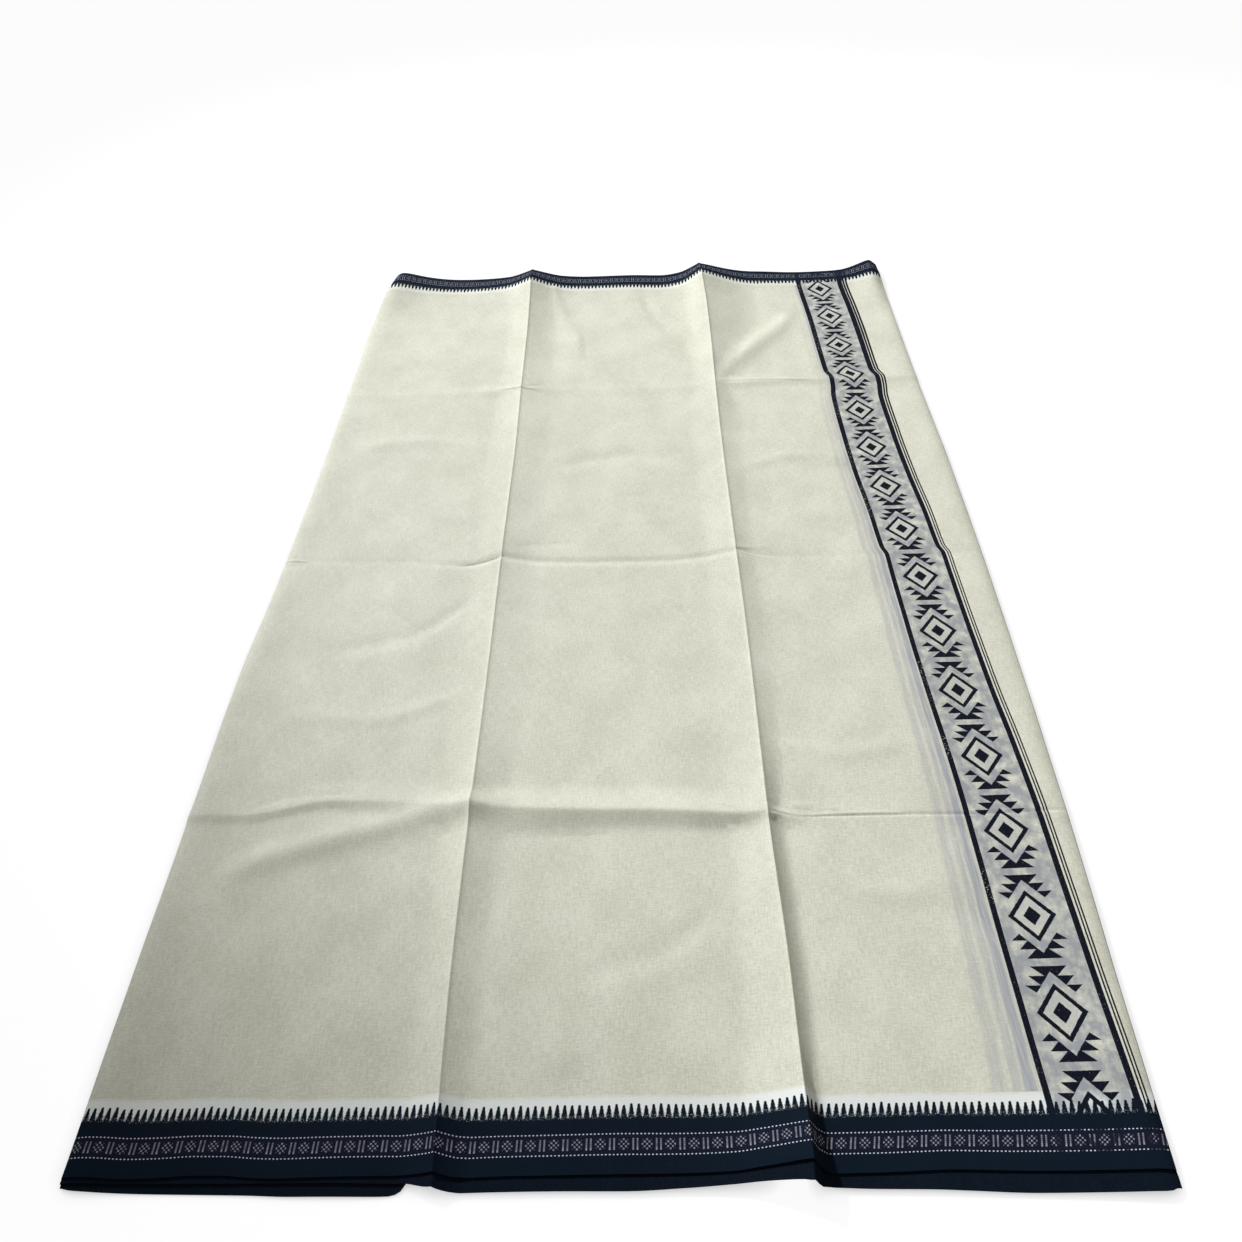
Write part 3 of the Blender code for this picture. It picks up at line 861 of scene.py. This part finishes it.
@functools.cache
def border_rows():
    """The border's woven rows, in millimetres from the nearer selvedge: dotted lines, rosettes and bars,
    temple spikes and a white stripe."""
    outputs = ("White", "Black", "Motif ground", "Light", "Ribs")
    (across, along), finish = new_group("Border rows", ("Across", "Along"), outputs)
    height = along.folded(LOOM_WIDTH * 1000)
    height = height.least(height * -1.0 + LOOM_WIDTH * 1000)
    place = across / SPIKE_PITCH
    uneven = random_by(place)
    reach = (height - SPIKE_BASE) / (uneven * 1.5 + (SPIKE_TIP - SPIKE_BASE - 0.7))
    width = reach.curve(SPIKE_SHAPE) * SPIKE_HALF
    middle = abs(place.maths("FRACT") - 0.5) * SPIKE_PITCH
    barbs = (noise(across / 0.45, height / 0.6, detail=1.0) - 0.5) * (reach.below(0.45, 0.5) * 2.2 + 0.5)
    spike = (middle - width + barbs).below(0.0, 0.2).least(height.below(SPIKE_TIP + 1.0))
    specks = noise(across / 0.7, height / 0.6).below(0.33, 0.05) * height.strip(35.6, 38.4)
    black = height.below(SPIKE_BASE).most(spike) * (specks * -0.6 + 1.0)

    light = None
    dot = abs((across / DOT_PITCH).maths("FRACT") - 0.5) * (DOT_PITCH / DOT_LENGTH)
    for row in DOT_ROWS:
        beside = abs(height - row) / DOT_WIDTH
        round_dot = (dot * dot + beside * beside).below(1.0, 0.4)
        light = round_dot if light is None else light.most(round_dot)
    along_row = abs((across / MOTIF_REPEAT).maths("FRACT") - 0.5) * MOTIF_REPEAT
    up = height - MOTIF_MIDDLE
    lattice = (along_row * (math.tau / LATTICE_ACROSS)).maths("COSINE")
    lattice = lattice * (up * (math.tau / LATTICE_ALONG)).maths("COSINE")
    tall = abs(up).below(MOTIF_HALF)
    octagon = (along_row + abs(up)).below(5.4).least(along_row.below(3.35)).least(tall)
    rosette = (lattice * -1.0).below(-0.30, 0.35).least(octagon)
    bar = along_row.strip(BAR_FROM, BAR_TO, 0.3).least(tall)
    stitches = (up / 1.3).maths("FRACT").strip(0.1, 0.85, 0.3)
    blob = up.below(-2.2, 0.8)
    bar = bar * (stitches * 0.5 + blob * 0.35 + 0.25)
    patchy = noise(across / 3.0, height / 3.0) * 1.1 + 0.2
    light = light.most(rosette * 0.56 * patchy).most(bar * 0.62 * patchy)
    ground = height.strip(*MOTIF_GROUND, 0.8)
    ribs = abs((across * (math.pi / RIB_PITCH)).maths("SINE"))
    ragged = noise(across / 6.0, height / 1.5, detail=3.0) * 3.2 - 1.6
    white = (height + ragged).below(sum(STRIPE_FADE) / 2, STRIPE_FADE[1] - STRIPE_FADE[0])
    white = white * (noise(across / 1.2, height / 12.0, detail=2.0) * 0.3 + 0.8)
    white = white * (along.below(900.0, 200.0) * 0.5 + 0.5)
    return finish(white, black, ground, light, ribs)


# A thread's pitch in millimetres, and the depth of each cloth's thread relief in metres
THREAD_PITCH = 0.46
GROUND_RELIEF = 0.0002
BORDER_RELIEF = 0.00014


def group_in(tree, group, *values):
    """Places a node group with its values, and gives its outputs as fields."""
    node = tree.nodes.new("ShaderNodeGroup")
    node.node_tree = group
    for value, socket in zip(values, node.inputs):
        feed(value, socket)
    return [Field(socket) for socket in node.outputs]


def map_places(tree, name):
    """A UV map's two coordinates as fields, in millimetres."""
    source = tree.nodes.new("ShaderNodeUVMap")
    source.uv_map = name
    parts = tree.nodes.new("ShaderNodeSeparateXYZ")
    tree.links.new(source.outputs[0], parts.inputs[0])
    return Field(parts.outputs["X"]) * 1000.0, Field(parts.outputs["Y"]) * 1000.0


def new_material(name, roughness):
    """A matt cloth material with only its constants set."""
    material = bpy.data.materials.new(name)
    material.use_nodes = True
    shader = material.node_tree.nodes["Principled BSDF"]
    shader.inputs["Roughness"].default_value = roughness
    shader.inputs["Specular IOR Level"].default_value = 0.06
    return material, material.node_tree, shader


def finish_cloth(tree, shader, colour, height, depth):
    """Joins a colour and a thread relief up to a cloth's shader."""
    feed(colour, shader.inputs["Base Color"])
    bump = tree.nodes.new("ShaderNodeBump")
    bump.inputs["Strength"].default_value = 0.6
    bump.inputs["Distance"].default_value = depth
    feed(height, bump.inputs["Height"])
    tree.links.new(bump.outputs[0], shader.inputs["Normal"])


def natural_cotton(shade, paint):
    """The two yarn colours of the ground, by the weave's own light and dark places."""
    return mixed((shade - 0.5) * 3.0 + 0.5, paint.cream_shade, paint.cream)


@functools.cache
def ground_cloth():
    """Natural cotton with the printed band."""
    paint = bpy.context.scene.dhoti_colours
    material, tree, shader = new_material("ground_cloth", 0.9)
    across, along = map_places(tree, "cloth")
    aside, band_along = map_places(tree, "band")
    height, shade = group_in(tree, plain_weave(), across, along, THREAD_PITCH)
    ink, wash, lilac, streak = group_in(tree, printed_band(), aside, band_along)
    flecks = noise(across / 1.3, along / 1.1, detail=1.0).below(0.24, 0.04)
    colour = natural_cotton(shade, paint)
    colour = mixed(flecks * 0.25, colour, paint.fleck)
    colour = mixed(streak * 0.8, colour, paint.print_streak)
    colour = mixed(wash * 0.9, colour, paint.print_grey)
    colour = mixed(lilac * 0.8, colour, paint.print_lilac)
    colour = mixed(ink, colour, paint.print_black)
    finish_cloth(tree, shader, colour, height, GROUND_RELIEF)
    return material


def border_material(name, black_yarn_and_shade, printed):
    """The black border with its woven rows, and the printed band over it where there is one."""
    paint = bpy.context.scene.dhoti_colours
    material, tree, shader = new_material(name, 0.85)
    across, along = map_places(tree, "cloth")
    height, shade = group_in(tree, plain_weave(), across, along, THREAD_PITCH)
    white, black, ground, light, ribs = group_in(tree, border_rows(), across, along)
    colour = natural_cotton(shade, paint)
    colour = mixed(white, colour, paint.stripe_white)
    # On the top layer this is the border's black yarn; on the hidden layers it is a darker black with painted
    # shade.
    dark = mixed(ground, mixed(shade, black_yarn_and_shade, paint.border_grey), paint.motif_ground)
    if printed:
        aside, band_along = map_places(tree, "band")
        ink, wash, lilac, _ = group_in(tree, printed_band(), aside, band_along)
        colour = mixed(wash.most(lilac) * 0.8, colour, paint.print_grey)
        colour = mixed(ink, colour, paint.print_black)
        light = light * (ink * -0.9 + 1.0)
    colour = mixed(black, colour, dark)
    colour = mixed(light, colour, paint.thread_white)
    finish_cloth(tree, shader, colour, height + ribs * black * 0.8 + light * 0.6, BORDER_RELIEF)
    return material


@functools.cache
def border_cloth():
    """The top layer's border."""
    return border_material("border_cloth", bpy.context.scene.dhoti_colours.border_black, True)


@functools.cache
def hidden_cloth():
    """The hidden layers, which show only their borders, in a darker black that paints the shade they lie in.
    """
    return border_material("hidden_cloth", bpy.context.scene.dhoti_colours.hidden_shaded_black, False)


def dress(piece, material, node):
    """Gives a sheet its material, hangs it from the root body and hides the solid that it stands for."""
    piece.data.materials.append(material)
    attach(piece, "root")
    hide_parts(node)


def length_property(name, description, length):
    """A length that a user can change."""
    return FloatProperty(
        name=name, description=description, default=length, min=0.0002, precision=4, unit="LENGTH"
    )


class DhotiSizes(bpy.types.PropertyGroup):
    """The cloth's own sizes."""

    thickness: length_property("Thickness", "Thickness of one layer of the cloth", 0.0005)
    second_level: length_property(
        "Second layer", "Height of the second layer's top face where the bundle lies flat", 0.0024
    )
    third_level: length_property(
        "Third layer", "Height of the third layer's top face where the bundle lies flat", 0.0008
    )


def colour_property(name, description, colour):
    """A colour that a user can change."""
    return FloatVectorProperty(
        name=name, description=description, default=colour, min=0, max=1, size=3, subtype="COLOR"
    )


class DhotiColours(bpy.types.PropertyGroup):
    """The yarns' and inks' colours, and a darker black with painted shade for the hidden layers."""

    cream: colour_property("Cream", "The natural cotton's lighter yarn", tone(223, 223, 210))
    cream_shade: colour_property("Cream shade", "The natural cotton's darker yarn", tone(200, 200, 185))
    fleck: colour_property("Fleck", "Bits of husk spun into the yarn", tone(160, 152, 128))
    stripe_white: colour_property("Stripe white", "The bleached stripe past the spikes", tone(225, 229, 229))
    border_black: colour_property("Border black", "The border's ribbed black", tone(6, 19, 31))
    border_grey: colour_property("Border grey", "The border's ribs in the light", tone(17, 30, 45))
    # A darker copy of the border black: painted shade on the hidden layers, which are the same cloth as the
    # top layer.
    hidden_shaded_black: colour_property("Hidden black", "The hidden layers' black", tone(5, 10, 20))
    motif_ground: colour_property("Motif ground", "The black behind the rosettes", tone(24, 26, 44))
    thread_white: colour_property("Thread white", "The border's dots, rosettes and bars", tone(200, 205, 222))
    print_black: colour_property("Print black", "The printed band's black", tone(18, 22, 34))
    print_grey: colour_property("Print grey", "The printed band's pale wash", tone(147, 151, 158))
    print_streak: colour_property("Print streak", "The streaks beside the printed band", tone(163, 166, 173))
    print_lilac: colour_property("Print lilac", "The wash round the diamonds", tone(152, 158, 172))


class DhotiStudio(bpy.types.PropertyGroup):
    """The floor, the lights and the camera."""

    lens: FloatProperty(name="Lens", description="Focal length in millimetres", default=36.0, min=10, max=200)
    key: FloatProperty(
        name="Key light", description="Power of the lamp at the far left, in watts", default=3350.0, min=0
    )
    fill: FloatProperty(
        name="Fill light", description="Strength of the light from all round", default=0.29, min=0
    )
    floor: colour_property("Floor", "The pale floor", tone(243, 243, 244))


class DHOTI_OT_ground_panel(bpy.types.Operator):
    """Make the natural cotton between the two borders"""

    bl_idname = "dhoti.ground_panel"
    bl_label = "Ground panel"

    def execute(self, context):
        sizes = context.scene.dhoti_sizes
        count = len(top_face()[0])
        piece = top_piece("ground_cloth", BORDER_ROWS - 1, count - BORDER_ROWS, sizes.thickness)
        dress(piece, ground_cloth(), "ground_panel")
        return {"FINISHED"}


class DHOTI_OT_borders(bpy.types.Operator):
    """Make the near and the far woven border"""

    bl_idname = "dhoti.borders"
    bl_label = "Borders"

    def execute(self, context):
        sizes = context.scene.dhoti_sizes
        count = len(top_face()[0])
        for name, node, first, last in (
            ("near_border_cloth", "near_border", 0, BORDER_ROWS - 1),
            ("far_border_cloth", "far_border", count - BORDER_ROWS, count - 1),
        ):
            piece = top_piece(name, first, last, sizes.thickness)
            dress(piece, border_cloth(), node)
        return {"FINISHED"}


class DHOTI_OT_hidden_layers(bpy.types.Operator):
    """Make the two layers under the top one"""

    bl_idname = "dhoti.hidden_layers"
    bl_label = "Hidden layers"

    def execute(self, context):
        sizes = context.scene.dhoti_sizes
        for name, steps, level, follow, rests_on in (
            ("third_layer", THIRD_LAYER_STEP, sizes.third_level, THIRD_FOLLOWS, []),
            ("second_layer", SECOND_LAYER_STEP, sizes.second_level, SECOND_FOLLOWS, ["third_layer"]),
        ):
            piece = layer_piece(name, steps, level, follow, sizes.thickness)
            dress(piece, hidden_cloth(), "hidden_layers")
        return {"FINISHED"}


FLOOR_HALF = 12.0
FLOOR_MATT = 0.12  # the share of its colour that answers to the light
FLOOR_GLOW = 1.05  # how brightly the camera sees it shine by itself
# Near the cloth the floor's emission is darkened by ambient occlusion: a painted shadow.
PAINTED_SHADOW_REACH = 0.012  # how near the cloth it is darker
PAINTED_SHADOW_DEPTH = 0.6
CAMERA_PLACE = (0.0466, -0.9896, 0.7566)
CAMERA_PITCH = 40.281  # degrees below the horizon
CAMERA_YAW = 3.220  # degrees to the left
CAMERA_ROLL = -3.424
SENSOR = 36.0


def camera_matrix():
    """The camera's place and the way it looks."""
    pitch, yaw, roll = (math.radians(angle) for angle in (CAMERA_PITCH, CAMERA_YAW, CAMERA_ROLL))
    forward = np.array([-math.sin(yaw) * math.cos(pitch), math.cos(yaw) * math.cos(pitch), -math.sin(pitch)])
    level = np.array([math.cos(yaw), math.sin(yaw), 0.0])
    above = np.cross(level, forward)
    right = math.cos(roll) * level + math.sin(roll) * above
    up = -math.sin(roll) * level + math.cos(roll) * above
    matrix = np.eye(4)
    matrix[:3, 0], matrix[:3, 1], matrix[:3, 2], matrix[:3, 3] = right, up, -forward, CAMERA_PLACE
    return Matrix(matrix.tolist())


def make_floor(colour):
    """A wide, plain pale floor that the camera sees shining by itself, with a painted shadow darkening it
    near the cloth.
    """
    mesh = bpy.data.meshes.new("floor")
    corners = [(x * FLOOR_HALF, y * FLOOR_HALF, 0.0) for x, y in ((-1, -1), (1, -1), (1, 1), (-1, 1))]
    mesh.from_pydata(corners, [], [(0, 1, 2, 3)])
    material = bpy.data.materials.new("pale_floor")
    material.use_nodes = True
    shader = material.node_tree.nodes["Principled BSDF"]
    shader.inputs["Base Color"].default_value = (*(part * FLOOR_MATT for part in colour), 1.0)
    shader.inputs["Emission Color"].default_value = (*colour, 1.0)
    # Ambient occlusion darkens the emission near the cloth, painting a shadow on the floor.
    painted_shadow = material.node_tree.nodes.new("ShaderNodeAmbientOcclusion")
    painted_shadow.inputs["Distance"].default_value = PAINTED_SHADOW_REACH
    seen = Field(material.node_tree.nodes.new("ShaderNodeLightPath").outputs["Is Camera Ray"])
    glow = Field(painted_shadow.outputs["AO"]) * PAINTED_SHADOW_DEPTH + (FLOOR_GLOW - PAINTED_SHADOW_DEPTH)
    feed(seen * glow, shader.inputs["Emission Strength"])
    shader.inputs["Roughness"].default_value = 0.95
    shader.inputs["Specular IOR Level"].default_value = 0.0
    mesh.materials.append(material)
    floor = bpy.data.objects.new("floor", mesh)
    bpy.context.scene.collection.objects.link(floor)
    floor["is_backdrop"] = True


KEY_PLACE = (-4.4, 4.45, 4.9)
KEY_AIM = (0.5, 0.30, 0.0)
KEY_RADIUS = 0.25
KEY_CONE = 17.55
KEY_BLEND = 0.42
FILL_COLOUR = (1.0, 0.985, 0.92, 1.0)


def make_lamp(power):
    """A broad lamp at the far left, whose light fades towards the near left corner."""
    light = bpy.data.lights.new("key", "SPOT")
    light.energy = power
    light.shadow_soft_size = KEY_RADIUS
    light.spot_size = math.radians(KEY_CONE)
    light.spot_blend = KEY_BLEND
    lamp = bpy.data.objects.new("key", light)
    away = Vector(KEY_PLACE) - Vector(KEY_AIM)
    lamp.location = KEY_PLACE
    lamp.rotation_euler = away.to_track_quat("Z", "Y").to_euler()
    bpy.context.scene.collection.objects.link(lamp)


class DHOTI_OT_stage(bpy.types.Operator):
    """Make the floor, the lights and the camera"""

    bl_idname = "dhoti.stage"
    bl_label = "Stage"

    def execute(self, context):
        scene = context.scene
        studio = scene.dhoti_studio
        make_floor(studio.floor)
        make_lamp(studio.key)
        world = bpy.data.worlds.new("studio")
        world.use_nodes = True
        background = world.node_tree.nodes["Background"]
        background.inputs["Color"].default_value = FILL_COLOUR
        background.inputs["Strength"].default_value = studio.fill
        scene.world = world
        scene.view_settings.view_transform = "Standard"
        lens = bpy.data.cameras.new("camera")
        lens.lens = studio.lens
        lens.sensor_width = SENSOR
        lens.clip_start = 0.01
        camera = bpy.data.objects.new("camera", lens)
        camera.matrix_world = camera_matrix()
        scene.collection.objects.link(camera)
        scene.camera = camera
        return {"FINISHED"}


class DHOTI_PT_panel(bpy.types.Panel):
    """The dhoti's pieces and their sizes and colours"""

    bl_idname = "DHOTI_PT_panel"
    bl_label = "Folded dhoti"
    bl_space_type = "VIEW_3D"
    bl_region_type = "UI"
    bl_category = "Dhoti"

    def draw(self, context):
        scene = context.scene
        for group in (scene.dhoti_sizes, scene.dhoti_colours, scene.dhoti_studio):
            box = self.layout.box()
            for name in type(group).__annotations__:
                box.prop(group, name)
        for operator in OPERATORS:
            self.layout.operator(operator.bl_idname)


OPERATORS = (DHOTI_OT_hidden_layers, DHOTI_OT_ground_panel, DHOTI_OT_borders, DHOTI_OT_stage)
CLASSES = (DhotiSizes, DhotiColours, DhotiStudio, *OPERATORS, DHOTI_PT_panel)


def register():
    """Registers the classes and the scene's own properties."""
    for item in CLASSES:
        bpy.utils.register_class(item)
    bpy.types.Scene.dhoti_sizes = PointerProperty(type=DhotiSizes)
    bpy.types.Scene.dhoti_colours = PointerProperty(type=DhotiColours)
    bpy.types.Scene.dhoti_studio = PointerProperty(type=DhotiStudio)


def unregister():
    """Takes them away again."""
    del bpy.types.Scene.dhoti_studio
    del bpy.types.Scene.dhoti_colours
    del bpy.types.Scene.dhoti_sizes
    for item in reversed(CLASSES):
        bpy.utils.unregister_class(item)


def corners(bounds):
    """A box's two corners as plain numbers."""
    return [list(corner) for corner in bounds]


def main():
    """Makes every piece in order."""
    solids = corners(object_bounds())
    register()
    bpy.ops.dhoti.hidden_layers()
    bpy.ops.dhoti.ground_panel()
    bpy.ops.dhoti.borders()
    bpy.ops.dhoti.stage()
    {"solids": solids, "pieces": corners(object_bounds())}


if __name__ == "__main__":
    main()
